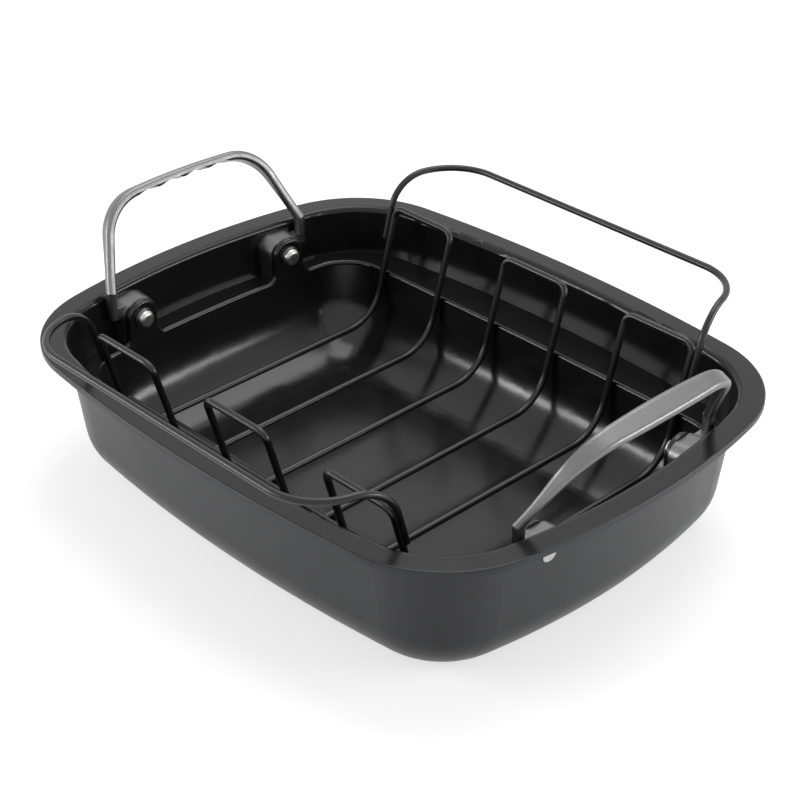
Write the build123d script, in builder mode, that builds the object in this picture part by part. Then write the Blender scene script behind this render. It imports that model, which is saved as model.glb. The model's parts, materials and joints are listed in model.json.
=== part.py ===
"""Roasting pan with a lift-out wire rack, in millimetres.

X runs along the pan, and the two handles stand on its short sides. Y runs across it, Z is up.
The origin is the middle of the base, on the surface that the pan stands on.
"""
from build123d import *
import math
import os

os.makedirs("parts", exist_ok=True)

# Outer tray, over its rim
pan_length = 420.0
pan_width = 334.0
pan_height = 95.0
rim_corner_radius = 78.0
long_side_bow_radius = 1120.0
short_side_bow_radius = 490.0

# Wall and rim of the outer tray
shell_sheet = 1.8
flange_width = 15.0
wall_draft = 7.0
base_radius = 33.0
flange_bend_radius = 4.0
hem_depth = 3.8
hem_thickness = 2.4
hem_edge_radius = 1.2

# Inner tray: floor, lower wall and the ledge all round it
liner_sheet = 1.5
ledge_depth = 34.0
end_ledge_inset = 36.7
side_ledge_inset = 49.5
ledge_corner_radius = 30.0
ledge_long_bow_radius = 9000.0
ledge_short_bow_radius = 1000.0
ledge_edge_radius = 2.3
ledge_face_height = 3.0
liner_draft = 9.0
liner_base_radius = 44.0
liner_floor_corner_radius = 46.0
liner_fit = 0.3

# Tongues that rise from the ledge and hold the rivets
rivet_spread_share = 0.3802
rivet_rise = 15.8
tongue_radius = 12.5
tongue_thickness = 4.2
tongue_flare_radius = 6.0

# Rivets and their washers
shank_diameter = 5.0
shank_fit = 0.15
head_diameter = 12.2
head_height = 3.8
head_round_share = 0.8
washer_diameter = 14.5
washer_thickness = 1.3
washer_round_share = 0.3
spot_face_depth = 0.1
spot_face_fit = 0.3
tail_diameter = 8.8
tail_height = 0.9
tail_drop = 1.8

# Pan handles: a strap that is wide at the grip and narrow at the legs
grip_lift = 52.0
grip_overhang = 4.3
grip_splay = 20.0
grip_crown = 2.8
grip_width = 14.0
grip_crown_bend_share = 0.5
grip_corner_radius = 34.0
strap_thickness = 6.4
strap_round_radius = 2.5
leg_width = 6.8
leg_offset = 17.5
leg_kink_lift = 3.0
scallop_pitch_share = 0.16
scallop_width_share = 0.88
scallop_depth = 1.6
scallop_count = 4

# Feet of the pan handles
foot_width = 26.0
foot_top_rise = 10.2
foot_corner_radius = 8.0
foot_draft = 7.0
ear_foot_rise = 2.7

# Rack
wire_diameter = 4.5
loop_width = 53.7
outer_leg_inset = 42.3
rack_top_rise = 45.3
rack_floor_height = 27.4
leg_lean = 16.0
loop_corner_radius = 7.0
floor_bend_radius = 30.0
seat_clearance = 0.3
weld_gap = 0.05

# Rack handles
rack_grip_rise = 20.2
rack_grip_leg_length = 44.0
rack_grip_overhang = 48.3
rack_grip_corner_inset_share = 0.288
rack_grip_corner_radius_share = 0.766
rack_grip_bend_radius_share = 0.58

# Length by which a cutting body passes what it cuts
overrun = 20.0

# How near to an outline an edge lies that belongs to it
edge_tolerance = 0.04

# Values worked out from the sizes above
half_length = pan_length / 2
half_width = pan_width / 2
ledge_height = pan_height - ledge_depth
ledge_half_length = half_length - end_ledge_inset
ledge_half_width = half_width - side_ledge_inset
rivet_height = ledge_height + rivet_rise
wire_radius = wire_diameter / 2
shank_radius = shank_diameter / 2
rivet_y = half_width * rivet_spread_share
rivet_reach = end_ledge_inset + overrun
leg_y = rivet_y + leg_offset
leg_kink_height = pan_height + leg_kink_lift
grip_height = pan_height + grip_lift
grip_half_span = leg_y - grip_splay


def bowed_outline(half_x, half_y, long_bow, short_bow, corner):
    """Points of a quarter of a four-sided outline whose sides and corners are tangent arcs."""
    long_centre = Vector(0, half_y - long_bow)
    short_centre = Vector(half_x - short_bow, 0)
    between = short_centre - long_centre
    to_long = long_bow - corner
    to_short = short_bow - corner
    along = (to_long**2 - to_short**2 + between.length**2) / (2 * between.length)
    across = math.sqrt(to_long**2 - along**2)
    step = between.normalized()
    corner_centre = long_centre + step * along + Vector(step.Y, -step.X) * across
    long_way = (corner_centre - long_centre).normalized()
    short_way = (corner_centre - short_centre).normalized()
    long_end = corner_centre + long_way * corner
    short_end = corner_centre + short_way * corner
    corner_middle = corner_centre + (long_way + short_way).normalized() * corner
    return long_end, corner_middle, short_end


def bowed_face(half_x, half_y, long_bow, short_bow, corner):
    """Flat face inside that outline."""
    long_end, middle, short_end = bowed_outline(half_x, half_y, long_bow, short_bow, corner)
    with BuildSketch() as face:
        with BuildLine():
            for side_x in (1, -1):
                for side_y in (1, -1):
                    ThreePointArc(
                        (side_x * long_end.X, side_y * long_end.Y),
                        (side_x * middle.X, side_y * middle.Y),
                        (side_x * short_end.X, side_y * short_end.Y),
                    )
            for side_y in (1, -1):
                ThreePointArc(
                    (-long_end.X, side_y * long_end.Y),
                    (0, side_y * half_y),
                    (long_end.X, side_y * long_end.Y),
                )
            for side_x in (1, -1):
                ThreePointArc(
                    (side_x * short_end.X, -short_end.Y),
                    (side_x * half_x, 0),
                    (side_x * short_end.X, short_end.Y),
                )
        make_face()
    return face.sketch


def pan_face(inset):
    """Face of the outer tray's outline, moved inwards from the rim's edge."""
    return bowed_face(
        half_length - inset,
        half_width - inset,
        long_side_bow_radius - inset,
        short_side_bow_radius - inset,
        rim_corner_radius - inset,
    )


def ledge_face(inset, corner=ledge_corner_radius):
    """Face of the ledge's front outline, moved inwards."""
    return bowed_face(
        ledge_half_length - inset,
        ledge_half_width - inset,
        ledge_long_bow_radius - inset,
        ledge_short_bow_radius - inset,
        corner,
    )


def wall_inset(height):
    """Inset of the outer tray's outer face at a height."""
    return flange_width + (pan_height - height) * math.tan(math.radians(wall_draft))


def tray_form(skin, top, bottom, edge_radius):
    """Solid inside the outer tray's wall, with its skin moved inwards and its base edge rounded."""
    with BuildPart() as form:
        with BuildSketch(Plane.XY.offset(bottom)):
            add(pan_face(wall_inset(bottom) + skin))
        with BuildSketch(Plane.XY.offset(top)):
            add(pan_face(wall_inset(top) + skin))
        loft(ruled=True)
        if edge_radius > 0:
            fillet(form.edges().group_by(Axis.Z)[0], radius=edge_radius)
    return form.part


def bowl_form(skin, bottom, edge_radius):
    """Solid inside the liner's lower wall, with its skin moved outwards, up to the ledge's face."""
    face_foot = ledge_height - ledge_face_height
    drop = (face_foot - bottom) * math.tan(math.radians(liner_draft))
    with BuildPart() as form:
        with BuildSketch(Plane.XY.offset(bottom)):
            add(ledge_face(drop - skin, liner_floor_corner_radius + skin))
        with BuildSketch(Plane.XY.offset(face_foot)):
            add(ledge_face(-skin, ledge_corner_radius + skin))
        loft(ruled=True)
        fillet(form.edges().group_by(Axis.Z)[0], radius=edge_radius)
        with BuildSketch(Plane.XY.offset(face_foot)):
            add(ledge_face(-skin, ledge_corner_radius + skin))
        extrude(amount=ledge_face_height)
    return form.part


def edges_on(edges, outline, lowest, rise=0):
    """Edges whose middle stands over an outline, from a height up to a rise above it."""
    line = outline.wire()
    found = []
    for edge in edges:
        middle = edge @ 0.5
        if not lowest - edge_tolerance < middle.Z < lowest + rise + edge_tolerance:
            continue
        if line.distance_to(Vertex(middle.X, middle.Y, 0)) < edge_tolerance:
            found.append(edge)
    return found


def bow_drop(radius, offset):
    """How far an arc falls away from its crown at an offset from its middle."""
    return radius - math.sqrt(radius**2 - offset**2)


def rivet_plane(side_x, side_y):
    """Plane on a tongue's front face at its rivet, with its normal into the pan."""
    centre_x = ledge_half_length - ledge_short_bow_radius
    turn = math.asin(rivet_y / ledge_short_bow_radius)
    way = Vector(side_x * math.cos(turn), side_y * math.sin(turn))
    face_point = Vector(side_x * (centre_x + ledge_short_bow_radius * math.cos(turn)), side_y * rivet_y)
    origin = Vector(face_point.X, face_point.Y, rivet_height)
    return Plane(origin=origin, x_dir=(way.Y, -way.X, 0), z_dir=-way)


corners = [(1, 1), (1, -1), (-1, 1), (-1, -1)]
rivet_planes = [rivet_plane(side_x, side_y) for side_x, side_y in corners]
corner_names = ["right_rear", "right_front", "left_rear", "left_front"]

# Solids that shape or trim several pieces
outer_form = tray_form(0, pan_height, 0, base_radius)
shell_floor_top = shell_sheet
shell_cavity = tray_form(shell_sheet, pan_height + overrun, shell_floor_top, base_radius - shell_sheet)
liner_space = tray_form(shell_sheet + liner_fit, ledge_height, ledge_height - liner_sheet, 0)
foot_space = tray_form(shell_sheet + liner_fit, pan_height, ledge_height, 0)
tail_form = tray_form(-tail_height, pan_height, 0, 0)


with BuildPart() as rivet_holes:
    for plane in rivet_planes:
        with BuildSketch(plane.offset(overrun / 2)):
            Circle(shank_radius + shank_fit)
        extrude(amount=-(overrun / 2 + rivet_reach))


# Outer tray
with BuildPart() as pan_shell:
    add(outer_form)
    with BuildSketch(Plane.XY.offset(pan_height - shell_sheet)):
        add(pan_face(0))
    extrude(amount=shell_sheet)
    with BuildSketch(Plane.XY.offset(pan_height - hem_depth)):
        add(pan_face(0))
        add(pan_face(hem_thickness), mode=Mode.SUBTRACT)
    extrude(amount=hem_depth)
    add(shell_cavity, mode=Mode.SUBTRACT)
    add(rivet_holes.part, mode=Mode.SUBTRACT)
    flange_foot = pan_height - shell_sheet
    under_flange = edges_on(pan_shell.edges(), pan_face(wall_inset(flange_foot)), flange_foot)
    fillet(under_flange, radius=flange_bend_radius - shell_sheet)
    over_flange = edges_on(pan_shell.edges(), pan_face(wall_inset(pan_height) + shell_sheet), pan_height)
    fillet(over_flange, radius=flange_bend_radius)
    fillet(edges_on(pan_shell.edges(), pan_face(0), pan_height), radius=hem_edge_radius)
    pan_shell.part.label = "pan_shell"
export_step(pan_shell.part, "parts/pan_shell.step")

# Inner tray with its ledge and tongues
floor_top = shell_floor_top + liner_sheet
with BuildPart() as tongue_blanks:
    for plane in rivet_planes:
        foot = ledge_height - rivet_height
        with BuildSketch(plane.offset(overrun)) as profile:
            Circle(tongue_radius)
            with Locations((0, foot / 2)):
                Rectangle(2 * tongue_radius, -foot)
            with Locations((0, foot - liner_sheet / 2)):
                Rectangle(2 * (tongue_radius + tongue_flare_radius + liner_sheet), liner_sheet)
            fillet(
                profile.vertices().filter_by_position(Axis.Y, foot, foot).sort_by(Axis.X)[1:3],
                radius=tongue_flare_radius,
            )
        extrude(amount=-2 * overrun)
    with BuildSketch(Plane.XY.offset(ledge_height - liner_sheet)):
        add(ledge_face(-tongue_thickness, ledge_corner_radius + tongue_thickness))
        add(ledge_face(0), mode=Mode.SUBTRACT)
    extrude(amount=rivet_height, mode=Mode.INTERSECT)

with BuildPart() as pan_liner:
    add(bowl_form(liner_sheet, shell_floor_top, liner_base_radius + liner_sheet))
    add(liner_space)
    add(bowl_form(0, floor_top, liner_base_radius), mode=Mode.SUBTRACT)
    add(tongue_blanks.part)
    fillet(edges_on(pan_liner.edges(), ledge_face(0), ledge_height, rivet_height), radius=ledge_edge_radius)
    add(rivet_holes.part, mode=Mode.SUBTRACT)
    for plane in rivet_planes:
        with BuildSketch(plane.offset(-spot_face_depth)):
            Circle(washer_diameter / 2 + spot_face_fit)
        extrude(amount=overrun / 2, mode=Mode.SUBTRACT)
    pan_liner.part.label = "pan_liner"
export_step(pan_liner.part, "parts/pan_liner.step")

# Rivets and washers
for corner_name, plane in zip(corner_names, rivet_planes):
    washer_seat = plane.offset(-spot_face_depth)
    inwards = Axis(plane.origin, plane.z_dir)
    with BuildPart() as washer:
        with BuildSketch(washer_seat):
            Circle(washer_diameter / 2)
            Circle(shank_radius + shank_fit, mode=Mode.SUBTRACT)
        extrude(amount=washer_thickness)
        outer_edge = washer.edges().filter_by(GeomType.CIRCLE).sort_by(SortBy.RADIUS)[-2:]
        fillet(outer_edge.sort_by(inwards)[-1], radius=washer_thickness * washer_round_share)
        washer.part.label = f"washer_{corner_name}"
    export_step(washer.part, f"parts/washer_{corner_name}.step")

    head_seat = washer_seat.offset(washer_thickness)
    with BuildPart() as rivet:
        with BuildSketch(plane.offset(-tongue_thickness)):
            with Locations((0, -tail_drop)):
                Circle(tail_diameter / 2)
        extrude(amount=-rivet_reach)
        add(outer_form, mode=Mode.SUBTRACT)
        with BuildSketch(head_seat):
            Circle(shank_radius)
        extrude(amount=-rivet_reach)
        add(tail_form, mode=Mode.INTERSECT)
        with BuildSketch(head_seat):
            Circle(head_diameter / 2)
        extrude(amount=head_height)
        head_edges = rivet.edges().filter_by(GeomType.CIRCLE).sort_by(inwards)
        fillet(head_edges[-1], radius=head_height * head_round_share)
        rivet.part.label = f"rivet_{corner_name}"
    export_step(rivet.part, f"parts/rivet_{corner_name}.step")

# Pan handle on the +X side
tongue_back_x = ledge_half_length + tongue_thickness - bow_drop(ledge_short_bow_radius, leg_y)
wall_skin_x = half_length - wall_inset(leg_kink_height) - shell_sheet - bow_drop(short_side_bow_radius, leg_y)
leg_x = (tongue_back_x + wall_skin_x) / 2
grip_x = half_length - grip_overhang
grip_lean = math.atan2(grip_x - leg_x, grip_height - leg_kink_height)
grip_rise = math.hypot(grip_x - leg_x, grip_height - leg_kink_height)
kink_overlap = leg_width / 2 * math.tan(grip_lean / 2)
lean_plane = Plane(
    origin=(leg_x, 0, leg_kink_height),
    x_dir=(0, 1, 0),
    z_dir=(math.cos(grip_lean), 0, -math.sin(grip_lean)),
)
leg_slope = grip_splay / grip_rise
ear_foot_height = rivet_height + ear_foot_rise
strap_width_shares = [(0, 0), (0.13, 0.09), (0.3, 0.72), (0.5, 1), (0.7, 0.72), (0.87, 0.09), (1, 0)]

with BuildPart() as handle_strap:
    crown_radius = grip_half_span**2 * grip_crown_bend_share / grip_crown
    with BuildLine(lean_plane) as strap_path:
        FilletPolyline(
            (-leg_y - kink_overlap * leg_slope, -kink_overlap),
            (-grip_half_span, grip_rise),
            (0, grip_rise + grip_crown),
            (grip_half_span, grip_rise),
            (leg_y + kink_overlap * leg_slope, -kink_overlap),
            radius=[grip_corner_radius, crown_radius, grip_corner_radius],
        )
    strap_line = strap_path.wires()[0]
    for place_share, width_share in strap_width_shares:
        section_width = leg_width + (grip_width - leg_width) * width_share
        section_plane = Plane(strap_line @ place_share, x_dir=lean_plane.z_dir, z_dir=strap_line % place_share)
        with BuildSketch(section_plane):
            RectangleRounded(section_width, strap_thickness, strap_round_radius)
    sweep(path=strap_line, multisection=True)

    scallop_pitch = 2 * grip_half_span * scallop_pitch_share
    scallop_width = scallop_pitch * scallop_width_share
    scallop_radius = (scallop_width**2 / 4 + scallop_depth**2) / (2 * scallop_depth)
    underside = grip_rise + grip_crown - strap_thickness / 2
    with BuildSketch(lean_plane):
        for index in range(scallop_count):
            scallop_x = (index - (scallop_count - 1) / 2) * scallop_pitch
            crown_fall = grip_crown * abs(scallop_x) / grip_half_span
            with Locations((scallop_x, underside - crown_fall + scallop_depth - scallop_radius)):
                Circle(scallop_radius)
        with Locations((0, underside)):
            Rectangle(scallop_count * scallop_pitch, 2 * strap_thickness, mode=Mode.INTERSECT)
    extrude(amount=grip_width, both=True, mode=Mode.SUBTRACT)

    with BuildSketch(Plane.XY.offset(ear_foot_height)):
        with Locations((leg_x, leg_y), (leg_x, -leg_y)):
            RectangleRounded(leg_width, strap_thickness, strap_round_radius)
    extrude(amount=leg_kink_height - ear_foot_height + kink_overlap)

with BuildPart() as feet:
    for side_y in (1, -1):
        front = rivet_plane(1, side_y)
        with BuildSketch(Plane(front.origin, x_dir=-front.x_dir, z_dir=-front.z_dir)) as boss:
            with Locations((0, (foot_top_rise - rivet_rise) / 2)):
                Rectangle(foot_width, foot_top_rise + rivet_rise)
            fillet(boss.vertices().group_by(Axis.Y)[-1], radius=foot_corner_radius)
        extrude(amount=rivet_reach, taper=-foot_draft)
    add(foot_space, mode=Mode.INTERSECT)
    with BuildSketch(Plane.XY):
        add(ledge_face(-tongue_thickness, ledge_corner_radius + tongue_thickness))
    extrude(amount=pan_height, mode=Mode.SUBTRACT)
    with BuildSketch(Plane.XY.offset(ear_foot_height)):
        with Locations((leg_x, (leg_y + rivet_y) / 2), (leg_x, -(leg_y + rivet_y) / 2)):
            Rectangle(leg_width, leg_offset)
    extrude(amount=rivet_height + foot_top_rise - ear_foot_height)

with BuildPart() as handle_right:
    add(handle_strap.part)
    add(feet.part)
    add(rivet_holes.part, mode=Mode.SUBTRACT)
    handle_right.part.label = "handle_right"
export_step(handle_right.part, "parts/handle_right.step")

with BuildPart() as handle_left:
    add(mirror(handle_right.part, about=Plane.YZ, mode=Mode.PRIVATE))
    handle_left.part.label = "handle_left"
export_step(handle_left.part, "parts/handle_left.step")

# Rack: where its legs lean on the ledge, and the places that follow
lean_tangent = math.tan(math.radians(leg_lean))
outer_leg_x = ledge_half_length - outer_leg_inset
loop_pitch = outer_leg_x - loop_width / 2
rack_top_height = ledge_height + rack_top_rise
seat_height = ledge_height - ledge_edge_radius
seat_edge_y = ledge_half_width - bow_drop(ledge_long_bow_radius, outer_leg_x) + ledge_edge_radius
seat_y = seat_edge_y - (wire_radius + seat_clearance + ledge_edge_radius) / math.cos(math.radians(leg_lean))


def leg_line_y(height):
    """Distance of a leg's middle from the rack's middle plane at a height."""
    return seat_y + (height - seat_height) * lean_tangent


loop_top_y = leg_line_y(rack_top_height)
loop_floor_y = leg_line_y(rack_floor_height)
loops = {"rack_loop_left": -loop_pitch, "rack_loop_middle": 0, "rack_loop_right": loop_pitch}
for loop_name, loop_x in loops.items():
    with BuildPart() as rack_loop:
        with BuildLine() as loop_path:
            FilletPolyline(
                (loop_x - loop_width / 2, 0, rack_floor_height),
                (loop_x - loop_width / 2, loop_floor_y, rack_floor_height),
                (loop_x - loop_width / 2, loop_top_y, rack_top_height),
                (loop_x + loop_width / 2, loop_top_y, rack_top_height),
                (loop_x + loop_width / 2, loop_floor_y, rack_floor_height),
                (loop_x + loop_width / 2, 0, rack_floor_height),
                radius=[floor_bend_radius, loop_corner_radius, loop_corner_radius, floor_bend_radius],
            )
        loop_line = loop_path.wires()[0]
        with BuildSketch(Plane(loop_line @ 0, z_dir=loop_line % 0)):
            Circle(wire_radius)
        sweep(path=loop_line)
        mirror(about=Plane.XZ)
        rack_loop.part.label = loop_name
    export_step(rack_loop.part, f"parts/{loop_name}.step")

# Rack handles, welded beside the outer legs
grip_leg_x = outer_leg_x + wire_diameter + weld_gap
rack_grip_height = rack_top_height + rack_grip_rise
grip_bend_y = leg_line_y(rack_grip_height)
grip_bar_y = grip_bend_y + rack_grip_overhang
grip_foot_height = rack_grip_height - rack_grip_leg_length * math.cos(math.radians(leg_lean))
corner_x = grip_leg_x - rack_grip_overhang * rack_grip_corner_inset_share
corner_radius = rack_grip_overhang * rack_grip_corner_radius_share
bend_radius = rack_grip_overhang * rack_grip_bend_radius_share
rack_handles = {"rack_handle_rear": 1, "rack_handle_front": -1}
for handle_name, side_y in rack_handles.items():
    with BuildPart() as rack_handle:
        with BuildLine() as handle_path:
            FilletPolyline(
                (-grip_leg_x, side_y * leg_line_y(grip_foot_height), grip_foot_height),
                (-grip_leg_x, side_y * grip_bend_y, rack_grip_height),
                (-corner_x, side_y * grip_bar_y, rack_grip_height),
                (corner_x, side_y * grip_bar_y, rack_grip_height),
                (grip_leg_x, side_y * grip_bend_y, rack_grip_height),
                (grip_leg_x, side_y * leg_line_y(grip_foot_height), grip_foot_height),
                radius=[bend_radius, corner_radius, corner_radius, bend_radius],
            )
        handle_line = handle_path.wires()[0]
        with BuildSketch(Plane(handle_line @ 0, z_dir=handle_line % 0)):
            Circle(wire_radius)
        sweep(path=handle_line)
        rack_handle.part.label = handle_name
    export_step(rack_handle.part, f"parts/{handle_name}.step")

# Tie wires on the front side, one under the bottom runs and one inside the legs
bend_reach = floor_bend_radius * math.tan(math.radians(90 - leg_lean) / 2)
wire_step = wire_diameter + weld_gap
low_tie_y = loop_floor_y - bend_reach - wire_diameter
low_tie_height = rack_floor_height - wire_step
side_tie_height = rack_floor_height + bend_reach * math.cos(math.radians(leg_lean))
side_tie_y = leg_line_y(side_tie_height) - wire_step * math.cos(math.radians(leg_lean))
tie_places = {
    "rack_tie_low": (low_tie_y, low_tie_height),
    "rack_tie_side": (side_tie_y, side_tie_height + wire_step * math.sin(math.radians(leg_lean))),
}
for tie_name, (tie_y, tie_height) in tie_places.items():
    with BuildPart() as rack_tie:
        with BuildSketch(Plane.YZ):
            with Locations((-tie_y, tie_height)):
                Circle(wire_radius)
        extrude(amount=outer_leg_x + wire_radius, both=True)
        rack_tie.part.label = tie_name
    export_step(rack_tie.part, f"parts/{tie_name}.step")
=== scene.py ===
import json
import math

import bpy
from mathutils import Matrix, Vector

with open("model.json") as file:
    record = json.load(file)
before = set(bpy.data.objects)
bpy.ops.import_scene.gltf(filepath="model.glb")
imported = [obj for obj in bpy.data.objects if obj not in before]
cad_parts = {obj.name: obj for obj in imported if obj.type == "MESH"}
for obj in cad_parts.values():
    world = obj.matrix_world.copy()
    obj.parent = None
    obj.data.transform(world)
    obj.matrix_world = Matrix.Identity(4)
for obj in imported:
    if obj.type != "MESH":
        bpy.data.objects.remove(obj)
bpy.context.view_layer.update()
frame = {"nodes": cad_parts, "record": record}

# Camera, read from the rim, base, rivet and wire points of the photograph
CAMERA_AZIMUTH = math.radians(46.07)
CAMERA_ELEVATION = math.radians(31.61)
CAMERA_DISTANCE = 1.2496
CAMERA_RIGHT = 0.0034
CAMERA_RISE = 0.0533
SENSOR_WIDTH = 36.0
FOCAL_PIXELS = 1947.5
FRAME_PIXELS = 800

# Studio: the way from the object to each softbox, its distance, size and power
OBJECT_MIDDLE = Vector((0, 0, 0.06))
SOFTBOXES = {
    "softbox_left": {
        "way": (-0.62, -0.74, 0.27), "distance": 1.5, "size": (1.0, 0.2), "power": 9.0,
    },
    "softbox_right": {
        "way": (0.76, 0.59, 0.25), "distance": 1.5, "size": (1.0, 0.2), "power": 8.5,
    },
    "softbox_top": {
        "way": (-0.12, 0.35, 0.93), "distance": 1.8, "size": (1.3, 1.3), "power": 14.0,
    },
}
WORLD_COLOUR = (1, 1, 1, 1)
WORLD_LEVEL = 0.32
WORLD_SEEN_LEVEL = 1.0
FLOOR_SIZE = 12.0
FLOOR_COLOUR = (0.75, 0.75, 0.75, 1)
FLOOR_SEEN_GLOW = 0.6

# Noise values run from about NOISE_LOW to NOISE_HIGH
NOISE_LOW = 0.3
NOISE_HIGH = 0.7

# Sprayed coat: wide mottle in tone and gloss, fine grain in the skin
COAT_MOTTLE = {"scale": 60, "detail": 3}
COAT_GRAIN = {"scale": 1600, "detail": 2}
COAT_TONE_SHARES = (0.85, 1.15)
COAT_BUMP_STRENGTH = 0.05
COAT_BUMP_DISTANCE = 0.0002

# How far a face turns up or inwards before the inside coat starts, and where it is full
INSIDE_STARTS = 0.25
INSIDE_FULL = 0.6

# Cast or tumbled metal: grain in tone and skin, wide mottle in gloss
METAL_MOTTLE = {"scale": 120, "detail": 3}
METAL_GRAIN = {"scale": 1400, "detail": 3}
METAL_TONE_SHARES = (0.75, 1.25)
METAL_BUMP_DISTANCE = 0.0003

# Looks: base colour, mean roughness and how far the roughness wanders to either side
OUTSIDE_COAT = {"colour": (0.036, 0.037, 0.04), "roughness": 0.36, "spread": 0.03}
INSIDE_COAT = {"colour": (0.0075, 0.0075, 0.008), "roughness": 0.2, "spread": 0.025}
WIRE_COAT = {"colour": (0.006, 0.0062, 0.007), "roughness": 0.3, "spread": 0.04}
HANDLE_METAL = {"colour": (0.19, 0.19, 0.19), "roughness": 0.38, "spread": 0.06}
RIVET_METAL = {"colour": (0.5, 0.5, 0.49), "roughness": 0.32, "spread": 0.05}
WASHER_METAL = {"colour": (0.16, 0.16, 0.165), "roughness": 0.3, "spread": 0.05}
OUTER_SPECULAR = 0.33
INNER_SPECULAR = 0.45
WIRE_SPECULAR = 0.5
HANDLE_GRAIN = 0.2
RIVET_GRAIN = 0.15
WASHER_GRAIN = 0.1


def add_camera():
    back = Vector((
        math.cos(CAMERA_ELEVATION) * math.sin(CAMERA_AZIMUTH),
        -math.cos(CAMERA_ELEVATION) * math.cos(CAMERA_AZIMUTH),
        math.sin(CAMERA_ELEVATION),
    ))
    right = Vector((math.cos(CAMERA_AZIMUTH), math.sin(CAMERA_AZIMUTH), 0))
    rise = back.cross(right)
    data = bpy.data.cameras.new("camera")
    data.sensor_width = SENSOR_WIDTH
    data.lens = FOCAL_PIXELS / FRAME_PIXELS * SENSOR_WIDTH
    camera = bpy.data.objects.new("camera", data)
    turn = Matrix((right, rise, back)).transposed().to_4x4()
    place = back * CAMERA_DISTANCE + right * CAMERA_RIGHT + rise * CAMERA_RISE
    camera.matrix_world = Matrix.Translation(place) @ turn
    bpy.context.scene.collection.objects.link(camera)
    bpy.context.scene.camera = camera


def add_softboxes():
    for name, box in SOFTBOXES.items():
        data = bpy.data.lights.new(name, "AREA")
        data.shape = "RECTANGLE"
        data.size, data.size_y = box["size"]
        data.energy = box["power"]
        lamp = bpy.data.objects.new(name, data)
        way = Vector(box["way"]).normalized()
        place = OBJECT_MIDDLE + way * box["distance"]
        turn = way.to_track_quat("Z", "Y").to_matrix().to_4x4()
        lamp.matrix_world = Matrix.Translation(place) @ turn
        bpy.context.scene.collection.objects.link(lamp)


def link(tree, source, output, target, socket):
    tree.links.new(source.outputs[output], target.inputs[socket])


def seen_ray(tree):
    """1 for camera, glossy and transmission rays, else 0."""
    path = tree.nodes.new("ShaderNodeLightPath")
    first = tree.nodes.new("ShaderNodeMath")
    first.operation = "MAXIMUM"
    link(tree, path, "Is Camera Ray", first, 0)
    link(tree, path, "Is Glossy Ray", first, 1)
    second = tree.nodes.new("ShaderNodeMath")
    second.operation = "MAXIMUM"
    link(tree, first, "Value", second, 0)
    link(tree, path, "Is Transmission Ray", second, 1)
    return second


def set_world():
    """Lights the object softly and shows white behind it and in what it mirrors."""
    world = bpy.data.worlds.new("studio")
    bpy.context.scene.world = world
    world.use_nodes = True
    tree = world.node_tree
    tree.nodes.clear()
    backgrounds = []
    for level in (WORLD_LEVEL, WORLD_SEEN_LEVEL):
        background = tree.nodes.new("ShaderNodeBackground")
        background.inputs["Color"].default_value = WORLD_COLOUR
        background.inputs["Strength"].default_value = level
        backgrounds.append(background)
    mix = tree.nodes.new("ShaderNodeMixShader")
    link(tree, seen_ray(tree), "Value", mix, 0)
    for socket, background in enumerate(backgrounds, start=1):
        link(tree, background, "Background", mix, socket)
    out = tree.nodes.new("ShaderNodeOutputWorld")
    link(tree, mix, "Shader", out, "Surface")


def add_floor():
    """A plain pale floor that takes the shadow and glows only where it is seen."""
    mesh = bpy.data.meshes.new("studio_floor")
    half = FLOOR_SIZE / 2
    corners = [(-half, -half, 0), (half, -half, 0), (half, half, 0), (-half, half, 0)]
    mesh.from_pydata(corners, [], [(0, 1, 2, 3)])
    floor = bpy.data.objects.new("studio_floor", mesh)
    bpy.context.scene.collection.objects.link(floor)
    material = bpy.data.materials.new("studio_floor")
    material.use_nodes = True
    tree = material.node_tree
    tree.nodes.clear()
    matt = tree.nodes.new("ShaderNodeBsdfDiffuse")
    matt.inputs["Color"].default_value = FLOOR_COLOUR
    glow = tree.nodes.new("ShaderNodeEmission")
    strength = tree.nodes.new("ShaderNodeMath")
    strength.operation = "MULTIPLY"
    strength.inputs[1].default_value = FLOOR_SEEN_GLOW
    link(tree, seen_ray(tree), "Value", strength, 0)
    link(tree, strength, "Value", glow, "Strength")
    both = tree.nodes.new("ShaderNodeAddShader")
    link(tree, matt, "BSDF", both, 0)
    link(tree, glow, "Emission", both, 1)
    out = tree.nodes.new("ShaderNodeOutputMaterial")
    link(tree, both, "Shader", out, "Surface")
    floor.data.materials.append(material)


def new_material(name):
    material = bpy.data.materials.new(name)
    material.use_nodes = True
    tree = material.node_tree
    shader = next(node for node in tree.nodes if node.type == "BSDF_PRINCIPLED")
    return material, tree, shader


def place_noise(tree, scale, detail):
    """Noise fixed to the object, with features about one metre over scale wide."""
    coordinates = tree.nodes.new("ShaderNodeTexCoord")
    noise = tree.nodes.new("ShaderNodeTexNoise")
    noise.inputs["Scale"].default_value = scale
    noise.inputs["Detail"].default_value = detail
    link(tree, coordinates, "Object", noise, "Vector")
    return noise


def ranged(tree, source, output, given, wanted):
    """The source's value, spread from the given range over the wanted one."""
    spread = tree.nodes.new("ShaderNodeMapRange")
    spread.inputs["From Min"].default_value = given[0]
    spread.inputs["From Max"].default_value = given[1]
    spread.inputs["To Min"].default_value = wanted[0]
    spread.inputs["To Max"].default_value = wanted[1]
    link(tree, source, output, spread, "Value")
    return spread


def wandering_tone(tree, noise, colour, shares):
    """The colour, darker and lighter by the two shares as the noise goes."""
    mix = tree.nodes.new("ShaderNodeMixRGB")
    for socket, share in zip(("Color1", "Color2"), shares):
        mix.inputs[socket].default_value = (*[channel * share for channel in colour], 1)
    link(tree, noise, "Fac", mix, "Fac")
    return mix


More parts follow.
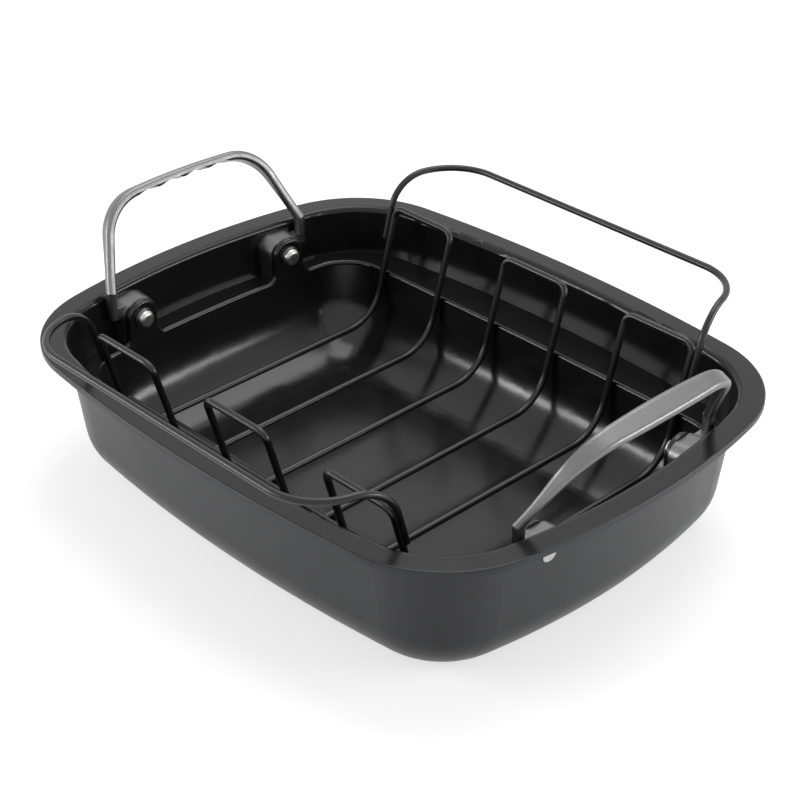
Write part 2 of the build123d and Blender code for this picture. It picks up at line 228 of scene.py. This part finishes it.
def wandering_gloss(tree, noise, roughness, spread):
    """The roughness, lower and higher by the spread as the noise goes."""
    limits = (roughness - spread, roughness + spread)
    return ranged(tree, noise, "Fac", (NOISE_LOW, NOISE_HIGH), limits)


def add_bump(tree, shader, noise, strength, distance):
    bump = tree.nodes.new("ShaderNodeBump")
    bump.inputs["Strength"].default_value = strength
    bump.inputs["Distance"].default_value = distance
    link(tree, noise, "Fac", bump, "Height")
    link(tree, bump, "Normal", shader, "Normal")


def new_coat(name, specular):
    """A non-stick coat with a faint skin, and the mottle for its tone and gloss."""
    material, tree, shader = new_material(name)
    shader.inputs["Specular IOR Level"].default_value = specular
    mottle = place_noise(tree, **COAT_MOTTLE)
    grain = place_noise(tree, **COAT_GRAIN)
    add_bump(tree, shader, grain, COAT_BUMP_STRENGTH, COAT_BUMP_DISTANCE)
    return material, tree, shader, mottle


def coat_tone_and_gloss(tree, mottle, look):
    tone = wandering_tone(tree, mottle, look["colour"], COAT_TONE_SHARES)
    gloss = wandering_gloss(tree, mottle, look["roughness"], look["spread"])
    return tone, gloss


def coat_material(name, look, specular):
    """One coat all over."""
    material, tree, shader, mottle = new_coat(name, specular)
    tone, gloss = coat_tone_and_gloss(tree, mottle, look)
    link(tree, tone, "Color", shader, "Base Color")
    link(tree, gloss, "Result", shader, "Roughness")
    return material


def inward_share(tree):
    """1 on faces that look up or into the pan, 0 on faces that look down or away from it."""
    coordinates = tree.nodes.new("ShaderNodeTexCoord")
    flat = tree.nodes.new("ShaderNodeVectorMath")
    flat.operation = "MULTIPLY"
    flat.inputs[1].default_value = (1, 1, 0)
    link(tree, coordinates, "Object", flat, 0)
    unit = tree.nodes.new("ShaderNodeVectorMath")
    unit.operation = "NORMALIZE"
    link(tree, flat, "Vector", unit, 0)
    inwards = tree.nodes.new("ShaderNodeVectorMath")
    inwards.operation = "SUBTRACT"
    inwards.inputs[0].default_value = (0, 0, 1)
    link(tree, unit, "Vector", inwards, 1)
    facing = tree.nodes.new("ShaderNodeVectorMath")
    facing.operation = "DOT_PRODUCT"
    link(tree, inwards, "Vector", facing, 0)
    link(tree, coordinates, "Normal", facing, 1)
    return ranged(tree, facing, "Value", (INSIDE_STARTS, INSIDE_FULL), (0, 1))


def two_coat_material(name, outside, inside, specular):
    """Satin coat outside and glossier, darker coat on the inside and over the rim."""
    material, tree, shader, mottle = new_coat(name, specular)
    share = inward_share(tree)
    outside_tone, outside_gloss = coat_tone_and_gloss(tree, mottle, outside)
    inside_tone, inside_gloss = coat_tone_and_gloss(tree, mottle, inside)
    tone = tree.nodes.new("ShaderNodeMixRGB")
    link(tree, share, "Result", tone, "Fac")
    link(tree, outside_tone, "Color", tone, "Color1")
    link(tree, inside_tone, "Color", tone, "Color2")
    link(tree, tone, "Color", shader, "Base Color")
    gloss = tree.nodes.new("ShaderNodeMix")
    gloss.data_type = "FLOAT"
    link(tree, share, "Result", gloss, 0)
    link(tree, outside_gloss, "Result", gloss, 2)
    link(tree, inside_gloss, "Result", gloss, 3)
    link(tree, gloss, 0, shader, "Roughness")
    return material


def metal_material(name, look, grain_strength):
    """Bare cast or tumbled metal with a fine grain."""
    material, tree, shader = new_material(name)
    shader.inputs["Metallic"].default_value = 1.0
    grain = place_noise(tree, **METAL_GRAIN)
    mottle = place_noise(tree, **METAL_MOTTLE)
    tone = wandering_tone(tree, grain, look["colour"], METAL_TONE_SHARES)
    link(tree, tone, "Color", shader, "Base Color")
    gloss = wandering_gloss(tree, mottle, look["roughness"], look["spread"])
    link(tree, gloss, "Result", shader, "Roughness")
    add_bump(tree, shader, grain, grain_strength, METAL_BUMP_DISTANCE)
    return material


finishes = {
    "tray_outside": two_coat_material("outer_coat", OUTSIDE_COAT, INSIDE_COAT, OUTER_SPECULAR),
    "tray_inside": coat_material("inner_coat", INSIDE_COAT, INNER_SPECULAR),
    "rack_wire": coat_material("wire_coat", WIRE_COAT, WIRE_SPECULAR),
    "handle_metal": metal_material("handle_metal", HANDLE_METAL, HANDLE_GRAIN),
    "rivet_metal": metal_material("rivet_metal", RIVET_METAL, RIVET_GRAIN),
    "washer_metal": metal_material("washer_metal", WASHER_METAL, WASHER_GRAIN),
}
for subpart in frame["record"]["subparts"]:
    piece = frame["nodes"][subpart["node"]]
    for slot in piece.material_slots:
        slot.material = finishes[subpart["material_slot"]]

add_camera()
add_softboxes()
set_world()
add_floor()
bpy.context.scene.view_settings.view_transform = "Standard"
